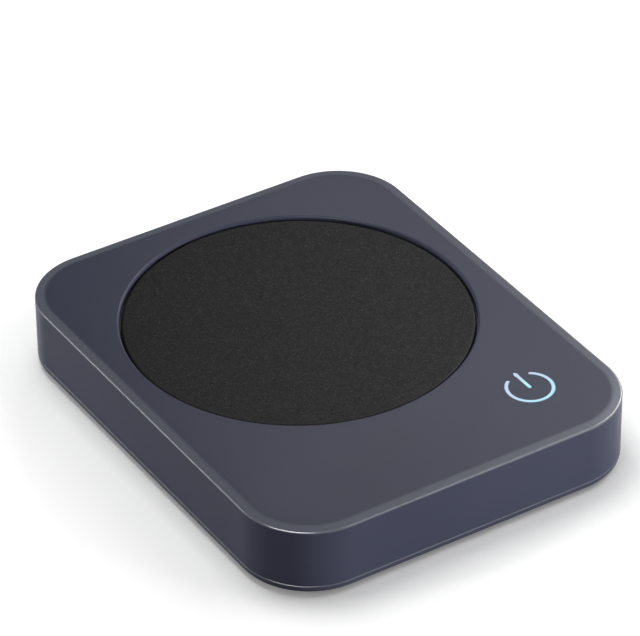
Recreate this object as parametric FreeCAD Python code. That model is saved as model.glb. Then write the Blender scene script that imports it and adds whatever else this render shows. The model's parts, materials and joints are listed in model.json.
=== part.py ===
import FreeCAD, Part
import math
import os

# A desk mug warmer: a flat rounded body with a round heated plate let into its
# top face and a glowing power symbol in the front right corner.
# Millimetres. +Z is up, +X is to the user's right, the user sits at -Y.
# The origin is on the desk, below the middle of the body.

# Outer form
opening_radius = 46.6          # round opening in the top face that shows the plate
side_margin = 8.4              # opening to the left and right faces
rear_margin = 9.4              # opening to the rear face
control_depth = 33.9           # opening to the front face
corner_radius = 19.5           # upright corners, seen from above
body_height = 19.4             # cover underside to top face
foot_proud = 1.0               # feet below the cover
rim_width = 2.6                # gently sloped band round the top face
rim_drop = 0.3
rim_edge_radius = 0.4          # bright line between the band and the side
lip_radius = 0.6               # rounded edge of the round opening

# Housing walls
wall = 2.2
top_thickness = 2.4
rib_thickness = 1.2
rib_count = 7                  # ribs from the locating ring to the side and rear walls
rib_step = 30.0                # degrees from one rib to the next
rib_sink = 0.1                 # how far a rib runs into the wall it meets
groove_height = 0.35           # shadow line above the cover
groove_depth = 0.5

# Bottom cover
cover_thickness = 2.2
cover_edge_radius = 1.7
lip_clearance = 0.15
lip_thickness = 1.2
lip_height = 2.0
cover_rib_height = 1.6
cover_rib_x = 26.0
vent_length = 18.0
vent_width = 2.0
vent_pitch = 5.0
vent_count = 5
vent_x = 14.0

# Feet
foot_radius = 6.0
foot_inset = 19.0              # foot centre from the side and from the end
foot_recess = 0.6
foot_clearance = 0.2
foot_edge = 0.3                # chamfer round the foot's face

# Screws that hold the cover
screw_inset = 10.6
boss_radius = 3.0
boss_floor_gap = 1.8           # height of the wells that meet the bosses
well_radius = 4.2
housing_screw_radius = 1.05
housing_screw_length = 9.0
screw_head_radius = 2.5
screw_head_height = 1.5
head_sink = 0.5                # head below the cover underside
head_clearance = 0.4
shank_clearance = 0.45
thread_clearance = 0.05
hole_end_gap = 0.8             # blind hole beyond the screw's tip
cross_width = 0.6
cross_length = 2.8
cross_depth = 0.7

# Heated plate and what lies under it
plate_recess = 0.8             # plate below the top face
plate_thickness = 1.5
plate_gap = 0.4                # plate to the edge of the opening
plate_edge_radius = 0.8
flange_width = 2.0
flange_thickness = 1.2
seal_thickness = 0.8
seal_gap = 0.1
element_thickness = 0.5
pad_thickness = 4.1
pad_gap = 0.7                  # pad to the plate's turned-down wall
retainer_thickness = 0.8
retainer_rim_height = 2.0
retainer_clearance = 0.3
ring_thickness = 1.5           # wall that locates the plate's flange
ring_clearance = 0.3
ring_foot_gap = 0.2
ear_half_width = 3.5
ear_angle = 45.0
post_radius = 3.0
post_gap = 0.5
small_screw_radius = 0.85
small_head_radius = 1.9
small_head_height = 1.2
retainer_screw_length = 4.6

# Temperature sensor and fuse
sensor_radius = 2.0
sensor_clearance = 0.4
sensor_drop = 1.2              # sensor below the retainer
fuse_radius = 1.9
fuse_length = 10.0
fuse_y = 2.0                   # front end of the fuse
clip_thickness = 0.6
clip_width = 4.0
clip_tab = 3.0

# Power symbol, measured to the middle of its strokes
symbol_side_inset = 22.2
symbol_front_inset = 22.5
symbol_radius = 6.0
symbol_stroke = 1.1
symbol_half_gap = 36.0         # degrees each side of the bar
symbol_bar_start = 0.1
symbol_bar_end = 6.7
slot_clearance = 0.05
lens_base_radius = 7.0
lens_base_thickness = 1.0

# Control board, hung below the top face
board_end_gap = 0.2            # board beyond the light baffle
board_depth = 25.5
board_thickness = 1.6
board_drop = 6.4               # top face underside to board
board_front_gap = 2.6
board_post_radius = 2.5
board_hole_inset = 4.0
board_rear_hole_x = -10.0
board_notch_gap = 2.0          # board to the corner bosses
board_screw_length = 5.6
baffle_wall = 0.8
spring_length = 5.0
spring_width = 4.0
spring_thickness = 0.3
spring_bend = 0.5
led_length = 2.0
led_width = 1.25
led_height = 0.8
led_orbit = 4.6
led_count = 3
chip_size = 6.0
chip_height = 1.2
chip_x = -16.0
transistor_width = 6.6
transistor_depth = 9.0
transistor_height = 2.3
transistor_end_gap = 10.0      # board's end to the transistor's middle
capacitor_radius = 3.15
capacitor_height = 5.4
capacitor_base = 6.6
capacitor_base_height = 0.8
capacitor_x = 12.0

# Wire connectors on the board's underside
connector_width = 6.5
connector_depth = 5.5
connector_floor_gap = 1.2      # connectors to the cover's ribs
heater_connector_x = -24.0
sensor_connector_x = 0.0
power_connector_x = 12.0

# Power inlet in the rear face
socket_width = 9.0
socket_headroom = 1.1          # inlet to the retainer
socket_depth = 12.0
nose_step = 0.1                # nose narrower than the body on each side
nose_recess = 0.4
nose_clearance = 0.2
socket_bore_radius = 2.8
socket_bore_depth = 9.5
pin_radius = 1.05
pin_recess = 1.0
terminal_spacing = 4.0
terminal_length = 3.0
terminal_width = 2.4
terminal_thickness = 0.5
cradle_clearance = 0.15
cradle_height = 5.3
cradle_length = 9.0

# Wires
wire_radius = 0.6
wire_spacing = 2.5
wire_bend = 3.0
bend_share = 0.45              # largest share of a straight run that a bend takes
wire_hole_clearance = 0.4
lead_a_y = -10.0               # where the first heater wire turns up
lead_b_y = 20.0                # where the second one does, behind the fuse
swerve_length = 15.0           # the inlet's wires swerve past the sensor's

overrun = 1.0                  # how far a cutting tool passes a face
same_place = 1e-4              # two heights or radii closer than this are the same
right_angle = 90.0
full_turn = 360.0

# Places that follow from the sizes above
body_width = 2 * (opening_radius + side_margin)
body_depth = 2 * opening_radius + rear_margin + control_depth
plate_y = body_depth / 2 - rear_margin - opening_radius
cover_z = foot_proud
parting_z = cover_z + cover_thickness
top_z = cover_z + body_height
rim_z = top_z - rim_drop
skin_z = top_z - top_thickness
cavity_width = body_width - 2 * wall
cavity_depth = body_depth - 2 * wall
cavity_corner = corner_radius - wall
boss_z = parting_z + boss_floor_gap
head_top_z = cover_z + head_sink + screw_head_height

plate_radius = opening_radius - plate_gap
plate_top_z = top_z - plate_recess
plate_under_z = plate_top_z - plate_thickness
pan_radius = plate_radius - plate_thickness
flange_radius = plate_radius + flange_width
flange_top_z = skin_z - seal_thickness
flange_z = flange_top_z - flange_thickness
element_z = plate_under_z - element_thickness
pad_radius = pan_radius - pad_gap
pad_z = element_z - pad_thickness
retainer_z = pad_z - retainer_thickness
retainer_radius = pad_radius + retainer_clearance + retainer_thickness
ring_radius = flange_radius + ring_clearance
ring_outer_radius = ring_radius + ring_thickness
ear_reach = ring_outer_radius + post_gap + post_radius
fuse_z = retainer_z - fuse_radius

symbol_x = body_width / 2 - symbol_side_inset
symbol_y = symbol_front_inset - body_depth / 2
lens_z = skin_z - lens_base_thickness

board_width = 2 * (symbol_x + lens_base_radius + board_end_gap)
board_y = wall + board_front_gap + board_depth / 2 - body_depth / 2
board_top_z = skin_z - board_drop
board_z = board_top_z - board_thickness
board_rear_y = board_y + board_depth / 2
board_front_row = board_y - board_depth / 2 + board_hole_inset
board_rear_row = board_rear_y - board_hole_inset
board_hole_x = board_width / 2 - board_hole_inset
transistor_x = transistor_end_gap - board_width / 2
board_holes = [(-board_hole_x, board_front_row), (board_hole_x, board_front_row),
               (board_rear_hole_x, board_rear_row)]
connector_z = parting_z + cover_rib_height + connector_floor_gap
wire_level = (connector_z + board_z) / 2

inner_rear_y = cavity_depth / 2
socket_height = retainer_z - socket_headroom - parting_z
socket_z = parting_z + socket_height / 2
nose_radius = socket_height / 2 - nose_step
socket_back_y = inner_rear_y - socket_depth
nose_y = body_depth / 2 - nose_recess

heater_wire_a_x = heater_connector_x - wire_spacing / 2
heater_wire_b_x = heater_connector_x + wire_spacing / 2

up = FreeCAD.Vector(0, 0, 1)


def point(x, y, z):
    return FreeCAD.Vector(x, y, z)


def block(x0, x1, y0, y1, z0, z1):
    return Part.makeBox(x1 - x0, y1 - y0, z1 - z0, point(x0, y0, z0))


def post(radius, z0, z1, x=0, y=0):
    return Part.makeCylinder(radius, z1 - z0, point(x, y, z0))


def ring(outer, inner, z0, z1, x=0, y=0):
    return post(outer, z0, z1, x, y).cut(post(inner, z0, z1, x, y))


def rounded_outline(width, depth, radius, z):
    """A rectangle with round corners, centred on the origin."""
    reach_x = width / 2 - radius
    reach_y = depth / 2 - radius
    centres = [(reach_x, reach_y), (-reach_x, reach_y), (-reach_x, -reach_y), (reach_x, -reach_y)]
    arcs = []
    for quarter, (x, y) in enumerate(centres):
        start = right_angle * quarter
        arcs.append(Part.makeCircle(radius, point(x, y, z), up, start, start + right_angle))
    edges = []
    for quarter, arc in enumerate(arcs):
        following = arcs[(quarter + 1) % len(arcs)]
        edges.append(arc)
        edges.append(Part.makeLine(arc.Vertexes[-1].Point, following.Vertexes[0].Point))
    return Part.Wire(edges)


def rounded_prism(width, depth, radius, z0, z1):
    face = Part.Face(rounded_outline(width, depth, radius, z0))
    return face.extrude(point(0, 0, z1 - z0))


def edges_at(shape, z, radius=None):
    """Level edges at height z, or only those on a circle of the given radius."""
    found = []
    for edge in shape.Edges:
        box = edge.BoundBox
        if abs(box.ZMin - z) > same_place or abs(box.ZMax - z) > same_place:
            continue
        if radius is None:
            found.append(edge)
        elif hasattr(edge.Curve, "Radius") and abs(edge.Curve.Radius - radius) < same_place:
            found.append(edge)
    return found


def four_corners(inset):
    """Points near the four corners, the same distance in from each side."""
    x = body_width / 2 - inset
    y = body_depth / 2 - inset
    return [(x, y), (-x, y), (-x, -y), (x, -y)]


def ear_points():
    points = []
    for quarter in range(4):
        angle = math.radians(ear_angle + right_angle * quarter)
        points.append((ear_reach * math.cos(angle), plate_y + ear_reach * math.sin(angle)))
    return points


def stadium(x0, y0, x1, y1, width, z0, z1):
    """A straight stroke with round ends, from one end's centre to the other's."""
    length = math.hypot(x1 - x0, y1 - y0)
    half = width / 2
    near_top = point(0, half, z0)
    near_low = point(0, -half, z0)
    far_top = point(length, half, z0)
    far_low = point(length, -half, z0)
    outline = Part.Wire([
        Part.makeLine(near_low, far_low),
        Part.Arc(far_low, point(length + half, 0, z0), far_top).toShape(),
        Part.makeLine(far_top, near_top),
        Part.Arc(near_top, point(-half, 0, z0), near_low).toShape(),
    ])
    solid = Part.Face(outline).extrude(point(0, 0, z1 - z0))
    solid.rotate(point(0, 0, 0), up, math.degrees(math.atan2(y1 - y0, x1 - x0)))
    solid.translate(point(x0, y0, 0))
    return solid


def arc_stroke(x, y, radius, width, start, end, z0, z1):
    """A stroke with round ends that follows a circle from start to end, in degrees."""
    half = width / 2

    def on(r, degrees):
        angle = math.radians(degrees)
        return point(x + r * math.cos(angle), y + r * math.sin(angle), z0)

    def cap(degrees, way):
        angle = math.radians(degrees)
        tip = on(radius, degrees)
        return tip + point(-math.sin(angle) * half * way, math.cos(angle) * half * way, 0)

    middle = (start + end) / 2
    outline = Part.Wire([
        Part.Arc(on(radius + half, start), on(radius + half, middle), on(radius + half, end)).toShape(),
        Part.Arc(on(radius + half, end), cap(end, 1), on(radius - half, end)).toShape(),
        Part.Arc(on(radius - half, end), on(radius - half, middle), on(radius - half, start)).toShape(),
        Part.Arc(on(radius - half, start), cap(start, -1), on(radius + half, start)).toShape(),
    ])
    return Part.Face(outline).extrude(point(0, 0, z1 - z0))


def symbol_strokes(extra, z0, z1):
    """The broken ring and the bar of the power symbol, wider by extra on each side."""
    width = symbol_stroke + 2 * extra
    start = right_angle + symbol_half_gap
    end = right_angle + full_turn - symbol_half_gap
    open_ring = arc_stroke(symbol_x, symbol_y, symbol_radius, width, start, end, z0, z1)
    bar_start = symbol_y + symbol_bar_start
    bar_end = symbol_y + symbol_bar_end
    bar = stadium(symbol_x, bar_start, symbol_x, bar_end, width, z0, z1)
    return [open_ring, bar]


def wire_run(points, radius, bend):
    """A round wire along straight runs that tangent arcs join."""
    corners = [point(*p) for p in points]
    edges = []
    last = corners[0]
    for before, corner, after in zip(corners, corners[1:], corners[2:]):
        back = (before - corner).normalize()
        ahead = (after - corner).normalize()
        turn = math.pi - back.getAngle(ahead)
        shortest = min((before - corner).Length, (after - corner).Length)
        setback = min(bend * math.tan(turn / 2), bend_share * shortest)
        arc_start = corner + back * setback
        arc_end = corner + ahead * setback
        arc_radius = setback / math.tan(turn / 2)
        inward = (back + ahead).normalize()
        depth = arc_radius / math.cos(turn / 2) - arc_radius
        edges.append(Part.makeLine(last, arc_start))
        edges.append(Part.Arc(arc_start, corner + inward * depth, arc_end).toShape())
        last = arc_end
    edges.append(Part.makeLine(last, corners[-1]))
    path = Part.Wire(edges)
    section = Part.Wire([Part.makeCircle(radius, corners[0], corners[1] - corners[0])])
    return path.makePipeShell([section], True, False)


def screw(x, y, under_head_z, shank_radius, length, head_radius, head_height):
    """A pan-head screw driven upwards."""
    head = post(head_radius, under_head_z - head_height, under_head_z, x, y)
    return head.fuse(post(shank_radius, under_head_z, under_head_z + length, x, y))


def cross_recess(x, y, face_z):
    reach = cross_length / 2
    half = cross_width / 2
    return [block(x - reach, x + reach, y - half, y + half, face_z, face_z + cross_depth),
            block(x - half, x + half, y - reach, y + reach, face_z, face_z + cross_depth)]


def top_housing():
    """Top face, side walls and everything that is moulded on their inside."""
    shell = rounded_prism(body_width, body_depth, corner_radius, parting_z, top_z)
    shell = shell.makeChamfer(rim_drop, rim_width, edges_at(shell, top_z))
    shell = shell.makeFillet(rim_edge_radius, edges_at(shell, rim_z))
    shell = shell.cut(rounded_prism(cavity_width, cavity_depth, cavity_corner,
                                    parting_z - overrun, skin_z))
    shell = shell.cut(shadow_groove())
    shell = shell.cut(post(opening_radius, skin_z - overrun, top_z + overrun, 0, plate_y))
    shell = shell.makeFillet(lip_radius, edges_at(shell, top_z, opening_radius))
    shell = shell.fuse(housing_inner_forms()).removeSplitter()
    for tool in housing_holes():
        shell = shell.cut(tool)
    return shell


def shadow_groove():
    """The fine step that leaves a shadow line above the cover."""
    outside = rounded_prism(body_width + 2 * overrun, body_depth + 2 * overrun,
                            corner_radius + overrun, parting_z - overrun, parting_z + groove_height)
    inside = rounded_prism(body_width - 2 * groove_depth, body_depth - 2 * groove_depth,
                           corner_radius - groove_depth, parting_z - overrun, parting_z + groove_height)
    return outside.cut(inside)


def housing_inner_forms():
    """Locating ring, ribs, bosses and posts below the top face."""
    ring_z = pad_z + ring_foot_gap
    forms = [ring(ring_outer_radius, ring_radius, ring_z, skin_z, 0, plate_y)]
    cavity = inside_walls(ring_z)
    rib_reach = math.hypot(body_width, body_depth) / 2
    rib_gap = post(ring_radius + ring_thickness / 2, ring_z, skin_z, 0, plate_y)
    for step in range(rib_count):
        rib = block(0, rib_reach, -rib_thickness / 2, rib_thickness / 2, ring_z, skin_z)
        rib.rotate(point(0, 0, 0), up, rib_step * step)
        rib.translate(point(0, plate_y, 0))
        forms.append(rib.cut(rib_gap).common(cavity))
    gusset_z = parting_z + lip_height + ring_clearance
    for x, y in four_corners(screw_inset):
        forms.append(post(boss_radius, boss_z, skin_z, x, y))
        forms.append(corner_gusset(x, y, gusset_z))
    for x, y in ear_points():
        forms.append(post(post_radius, pad_z, skin_z, x, y))
    for x, y in board_holes:
        forms.append(post(board_post_radius, board_top_z, skin_z, x, y))
    return forms


def corner_gusset(x, y, gusset_z):
    """A rib from a corner boss to the round corner wall."""
    rib = block(0, corner_radius, -rib_thickness / 2, rib_thickness / 2, gusset_z, skin_z)
    rib.rotate(point(0, 0, 0), up, math.degrees(math.atan2(y, x)))
    rib.translate(point(x, y, 0))
    return rib.common(inside_walls(gusset_z))


def inside_walls(z0):
    """The room between the walls, a touch larger so that ribs run into them."""
    return rounded_prism(cavity_width + 2 * rib_sink, cavity_depth + 2 * rib_sink,
                         cavity_corner + rib_sink, z0, skin_z)


def housing_holes():
    """Blind screw holes, the symbol's slots and the inlet's hole."""
    tools = []
    screw_tip = head_top_z + housing_screw_length + hole_end_gap
    for x, y in four_corners(screw_inset):
        tools.append(post(housing_screw_radius + thread_clearance, boss_z - overrun, screw_tip, x, y))
    small_hole = small_screw_radius + thread_clearance
    for x, y in ear_points():
        tip = retainer_z + retainer_screw_length + thread_clearance
        tools.append(post(small_hole, pad_z - overrun, tip, x, y))
    for x, y in board_holes:
        tip = board_z + board_screw_length + hole_end_gap
        tools.append(post(small_hole, board_top_z - overrun, tip, x, y))
    tools.extend(symbol_strokes(slot_clearance, skin_z - overrun, top_z + overrun))
    tools.append(Part.makeCylinder(nose_radius + nose_clearance, wall + 2 * overrun,
                                   point(0, inner_rear_y - overrun, socket_z), point(0, 1, 0)))
    return tools


def bottom_cover():
    """Tray with a rounded edge, a locating lip, screw wells, ribs and vents."""
    tray = rounded_prism(body_width, body_depth, corner_radius, cover_z, parting_z)
    tray = tray.makeFillet(cover_edge_radius, edges_at(tray, cover_z))
    lip_width = cavity_width - 2 * lip_clearance
    lip_depth = cavity_depth - 2 * lip_clearance
    lip_corner = cavity_corner - lip_clearance
    lip_top = parting_z + lip_height
    lip = rounded_prism(lip_width, lip_depth, lip_corner, parting_z, lip_top)
    lip = lip.cut(rounded_prism(lip_width - 2 * lip_thickness, lip_depth - 2 * lip_thickness,
                                lip_corner - lip_thickness, parting_z, lip_top))
    notch = socket_width / 2 + cradle_clearance
    lip = lip.cut(block(-notch, notch, socket_back_y, body_depth / 2, parting_z, lip_top + overrun))
    tray = tray.fuse([lip] + cover_ribs() + socket_cradle() + screw_wells()).removeSplitter()
    for tool in cover_cuts():
        tray = tray.cut(tool)
    return tray


def cover_ribs():
    """Two long ribs and two cross ribs on the inside of the cover."""
    rib_top = parting_z + cover_rib_height
    half = rib_thickness / 2
    long_reach = body_depth / 2 - screw_inset - well_radius
    ribs = []
    for x in (-cover_rib_x, cover_rib_x):
        ribs.append(block(x - half, x + half, -long_reach, long_reach, parting_z, rib_top))
    cross_offset = (vent_count + 1) * vent_pitch / 2 + vent_width
    for y in (plate_y - cross_offset, plate_y + cross_offset):
        ribs.append(block(-cover_rib_x, cover_rib_x, y - half, y + half, parting_z, rib_top))
    return ribs


def socket_cradle():
    """Upright walls each side of the inlet and a low stop behind it."""
    inner = socket_width / 2 + cradle_clearance
    outer = inner + rib_thickness
    top = parting_z + cradle_height
    walls = []
    for x0, x1 in ((inner, outer), (-outer, -inner)):
        walls.append(block(x0, x1, socket_back_y, socket_back_y + cradle_length, parting_z, top))
    stop_y = socket_back_y - cradle_clearance
    stop_top = parting_z + cover_rib_height
    walls.append(block(-outer, outer, stop_y - rib_thickness, stop_y, parting_z, stop_top))
    for x0, x1 in ((inner, outer), (-outer, -inner)):
        walls.append(block(x0, x1, stop_y - rib_thickness, socket_back_y, parting_z, stop_top))
    return walls


def screw_wells():
    return [post(well_radius, cover_z, boss_z, x, y) for x, y in four_corners(screw_inset)]


def cover_cuts():
    """Foot recesses, screw holes and vent slots."""
    tools = []
    for x, y in four_corners(foot_inset):
        tools.append(post(foot_radius + foot_clearance, cover_z - overrun, cover_z + foot_recess, x, y))
    for x, y in four_corners(screw_inset):
        tools.append(post(screw_head_radius + head_clearance, cover_z - overrun, head_top_z, x, y))
        tools.append(post(housing_screw_radius + shank_clearance, cover_z, boss_z + overrun, x, y))
    half = vent_length / 2
    for row in range(vent_count):
        y = plate_y + vent_pitch * (row - (vent_count - 1) / 2)
        for x in (-vent_x, vent_x):
            tools.append(stadium(x - half, y, x + half, y, vent_width,
                                 cover_z - overrun, parting_z + overrun))
    return tools


def rubber_feet():
    feet = []
    for x, y in four_corners(foot_inset):
        foot = post(foot_radius, 0, cover_z + foot_recess, x, y)
        feet.append(foot.makeChamfer(foot_edge, edges_at(foot, 0)))
    return feet


def housing_screws():
    screws = []
    for x, y in four_corners(screw_inset):
        plain = screw(x, y, head_top_z, housing_screw_radius, housing_screw_length,
                      screw_head_radius, screw_head_height)
        screws.append(plain.cut(cross_recess(x, y, cover_z + head_sink)))
    return screws


def heating_plate():
    """Pressed disc with a turned-down wall and an outer flange."""
    disc = post(plate_radius, flange_z, plate_top_z, 0, plate_y)
    disc = disc.makeFillet(plate_edge_radius, edges_at(disc, plate_top_z))
    disc = disc.fuse(post(flange_radius, flange_z, flange_top_z, 0, plate_y))
    disc = disc.cut(post(pan_radius, flange_z - overrun, plate_under_z, 0, plate_y))
    return disc.removeSplitter()


def plate_seal():
    return ring(flange_radius, plate_radius + seal_gap, flange_top_z, skin_z, 0, plate_y)


def sensor_hole(z0, z1):
    return post(sensor_radius + sensor_clearance, z0 - overrun, z1 + overrun, 0, plate_y)


def wire_holes(z0, z1):
    """Where the two heater wires pass up to the element."""
    radius = wire_radius + wire_hole_clearance
    first = post(radius, z0 - overrun, z1 + overrun, heater_wire_a_x, lead_a_y)
    second = post(radius, z0 - overrun, z1 + overrun, heater_wire_b_x, lead_b_y)
    return [first, second]


def heating_element():
    film = post(pad_radius, element_z, plate_under_z, 0, plate_y)
    return film.cut(sensor_hole(element_z, plate_under_z))


def insulation_pad():
    pad = post(pad_radius, pad_z, element_z, 0, plate_y)
    return pad.cut([sensor_hole(pad_z, element_z)] + wire_holes(pad_z, element_z))


def heater_retainer():
    """Pressed pan that holds the pad and element up, with four screw ears."""
    rim_top = pad_z + retainer_rim_height
    pan = post(retainer_radius, retainer_z, rim_top, 0, plate_y)
    pan = pan.cut(post(retainer_radius - retainer_thickness, pad_z, rim_top + overrun, 0, plate_y))
    ears = []
    for x, y in ear_points():
        ears.append(stadium(0, plate_y, x, y, 2 * ear_half_width, retainer_z, pad_z))
    pan = pan.fuse(ears).removeSplitter()
    for x, y in ear_points():
        pan = pan.cut(post(small_screw_radius + shank_clearance,
                           retainer_z - overrun, pad_z + overrun, x, y))
    return pan.cut([sensor_hole(retainer_z, pad_z)] + wire_holes(retainer_z, pad_z))


def retainer_screws():
    return [screw(x, y, retainer_z, small_screw_radius, retainer_screw_length,
                  small_head_radius, small_head_height) for x, y in ear_points()]


def temperature_sensor():
    return post(sensor_radius, retainer_z - sensor_drop, plate_under_z, 0, plate_y)


def fuse_cylinder(radius, y0, y1):
    return Part.makeCylinder(radius, y1 - y0, point(heater_wire_b_x, y0, fuse_z), point(0, 1, 0))


def thermal_fuse():
    return fuse_cylinder(fuse_radius, fuse_y, fuse_y + fuse_length)


def fuse_clip():
    """Bent strap under the fuse with a tab on each side against the retainer."""
    middle = fuse_y + fuse_length / 2
    y0 = middle - clip_width / 2
    y1 = middle + clip_width / 2
    outer = fuse_radius + clip_thickness
    x = heater_wire_b_x
    strap = fuse_cylinder(outer, y0, y1)
    strap = strap.fuse(block(x - outer, x + outer, y0, y1, fuse_z, retainer_z))
    tab_reach = outer + clip_tab
    strap = strap.fuse(block(x - tab_reach, x + tab_reach, y0, y1,
                             retainer_z - clip_thickness, retainer_z))
    strap = strap.cut(fuse_cylinder(fuse_radius, y0 - overrun, y1 + overrun))
    channel = block(x - fuse_radius, x + fuse_radius, y0 - overrun, y1 + overrun,
                    fuse_z, retainer_z + overrun)
    above = block(x - tab_reach, x + tab_reach, y0 - overrun, y1 + overrun,
                  retainer_z, retainer_z + 2 * overrun)
    return strap.cut([channel, above]).removeSplitter()


def control_board():
    half = board_width / 2
    board = block(-half, half, board_y - board_depth / 2, board_rear_y, board_z, board_top_z)
    low = board_z - overrun
    high = board_top_z + overrun
    for x, y in board_holes:
        board = board.cut(post(small_screw_radius + shank_clearance, low, high, x, y))
    for x, y in four_corners(screw_inset):
        board = board.cut(post(boss_radius + board_notch_gap, low, high, x, y))
    return board


def board_screws():
    return [screw(x, y, board_z, small_screw_radius, board_screw_length,
                  small_head_radius, small_head_height) for x, y in board_holes]


def on_board(x, width, depth, height):
    """A component that stands in the middle of the board's depth."""
    return block(x - width / 2, x + width / 2, board_y - depth / 2, board_y + depth / 2,
                 board_top_z, board_top_z + height)


def microcontroller():
    return on_board(chip_x, chip_size, chip_size, chip_height)


def power_transistor():
    return on_board(transistor_x, transistor_width, transistor_depth, transistor_height)


def filter_capacitor():
    base = on_board(capacitor_x, capacitor_base, capacitor_base, capacitor_base_height)
    return base.fuse(post(capacitor_radius, board_top_z, board_top_z + capacitor_height,
                          capacitor_x, board_y)).removeSplitter()


def connector(x):
    half = connector_width / 2
    return block(x - half, x + half, board_rear_y - connector_depth, board_rear_y,
                 connector_z, board_z)


def status_leds():
    leds = []
    for step in range(led_count):
        led = block(-led_length / 2, led_length / 2, led_orbit - led_width / 2, led_orbit + led_width / 2,
                    board_top_z, board_top_z + led_height)
        led.rotate(point(0, 0, 0), up, full_turn * step / led_count)
        led.translate(point(symbol_x, symbol_y, 0))
        leds.append(led)
    return leds


def touch_spring():
    """Z-shaped leaf that carries the touch signal from the board to the symbol."""
    reach = spring_length / 2
    low = board_top_z
    high = lens_z
    sheet = spring_thickness
    bend = spring_bend
    profile = [(-reach, low), (reach, low), (reach, low + sheet + bend), (bend - reach, high - sheet),
               (reach, high - sheet), (reach, high), (-reach, high), (-reach, high - sheet - bend),
               (reach - bend, low + sheet), (-reach, low + sheet), (-reach, low)]
    front = symbol_y - spring_width / 2
    outline = Part.makePolygon([point(symbol_x + x, front, z) for x, z in profile])
    return Part.Face(outline).extrude(point(0, spring_width, 0))


def light_baffle():
    return ring(lens_base_radius, lens_base_radius - baffle_wall,
                board_top_z, lens_z, symbol_x, symbol_y)


def symbol_lens():
    """Clear moulding whose ring and bar stand in the slots, flush with the top."""
    base = post(lens_base_radius, lens_z, skin_z, symbol_x, symbol_y)
    return base.fuse(symbol_strokes(0, skin_z, top_z)).removeSplitter()


def dc_socket():
    half = socket_width / 2
    body = block(-half, half, socket_back_y, inner_rear_y,
                 socket_z - socket_height / 2, socket_z + socket_height / 2)
    nose = Part.makeCylinder(nose_radius, nose_y - inner_rear_y,
                             point(0, inner_rear_y, socket_z), point(0, 1, 0))
    bore = Part.makeCylinder(socket_bore_radius, socket_bore_depth + overrun,
                             point(0, nose_y - socket_bore_depth, socket_z), point(0, 1, 0))
    return body.fuse(nose).cut(bore).removeSplitter()


def socket_pin():
    length = socket_bore_depth - pin_recess
    return Part.makeCylinder(pin_radius, length,
                             point(0, nose_y - socket_bore_depth, socket_z), point(0, 1, 0))


def socket_terminals():
    tabs = []
    for x in (-terminal_spacing / 2, terminal_spacing / 2):
        tabs.append(block(x - terminal_thickness / 2, x + terminal_thickness / 2,
                          socket_back_y - terminal_length, socket_back_y,
                          socket_z - terminal_width / 2, socket_z + terminal_width / 2))
    return tabs


def heater_leads():
    """One wire straight to the element, the other to it through the fuse."""
    xa = heater_wire_a_x
    xb = heater_wire_b_x
    direct = [(xa, board_rear_y, wire_level), (xa, lead_a_y, wire_level), (xa, lead_a_y, element_z)]
    rise = (lead_a_y + fuse_y) / 2
    to_fuse = [(xb, board_rear_y, wire_level), (xb, lead_a_y, wire_level),
               (xb, rise, fuse_z), (xb, fuse_y, fuse_z)]
    from_fuse = [(xb, fuse_y + fuse_length, fuse_z), (xb, lead_b_y, fuse_z), (xb, lead_b_y, element_z)]
    return [wire_run(route, wire_radius, wire_bend) for route in (direct, to_fuse, from_fuse)]


def sensor_leads():
    leads = []
    for side in (-wire_spacing / 2, wire_spacing / 2):
        x = sensor_connector_x + side
        sensor_under = retainer_z - sensor_drop
        route = [(x, board_rear_y, wire_level), (x, plate_y, wire_level), (x, plate_y, sensor_under)]
        leads.append(wire_run(route, wire_radius, wire_bend))
    return leads


def power_leads():
    leads = []
    for side in (-1, 1):
        socket_x = side * terminal_spacing / 2
        board_x = power_connector_x + side * wire_spacing / 2
        start_y = socket_back_y - terminal_length
        turn_y = start_y - 2 * wire_bend
        route = [(socket_x, start_y, socket_z), (socket_x, turn_y, socket_z),
                 (board_x, turn_y - swerve_length, wire_level), (board_x, board_rear_y, wire_level)]
        leads.append(wire_run(route, wire_radius, wire_bend))
    return leads


def save(name, solids):
    """One STEP file per named piece; a list is a group of separate solids."""
    if not isinstance(solids, list):
        solids = [solids]
    shape = solids[0] if len(solids) == 1 else Part.makeCompound(solids)
    for solid in shape.Solids:
        if not solid.isValid() or solid.Volume <= 0:
            raise ValueError(name + " isn't a sound solid")
    shape.exportStep(os.path.join("parts", name + ".step"))


pieces = {
    "top_housing": top_housing,
    "bottom_cover": bottom_cover,
    "rubber_feet": rubber_feet,
    "housing_screws": housing_screws,
    "heating_plate": heating_plate,
    "plate_seal": plate_seal,
    "heating_element": heating_element,
    "insulation_pad": insulation_pad,
    "heater_retainer": heater_retainer,
    "retainer_screws": retainer_screws,
    "temperature_sensor": temperature_sensor,
    "sensor_leads": sensor_leads,
    "thermal_fuse": thermal_fuse,
    "fuse_clip": fuse_clip,
    "heater_leads": heater_leads,
    "symbol_lens": symbol_lens,
    "light_baffle": light_baffle,
    "touch_spring": touch_spring,
    "status_leds": status_leds,
    "control_board": control_board,
    "board_screws": board_screws,
    "microcontroller": microcontroller,
    "power_transistor": power_transistor,
    "filter_capacitor": filter_capacitor,
    "heater_connector": lambda: connector(heater_connector_x),
    "sensor_connector": lambda: connector(sensor_connector_x),
    "power_connector": lambda: connector(power_connector_x),
    "dc_socket": dc_socket,
    "socket_pin": socket_pin,
    "socket_terminals": socket_terminals,
    "power_leads": power_leads,
}

os.makedirs("parts", exist_ok=True)
for name, make in pieces.items():
    save(name, make())
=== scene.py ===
import json
import math

import bmesh
import bpy
from mathutils import Matrix, Vector


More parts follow.
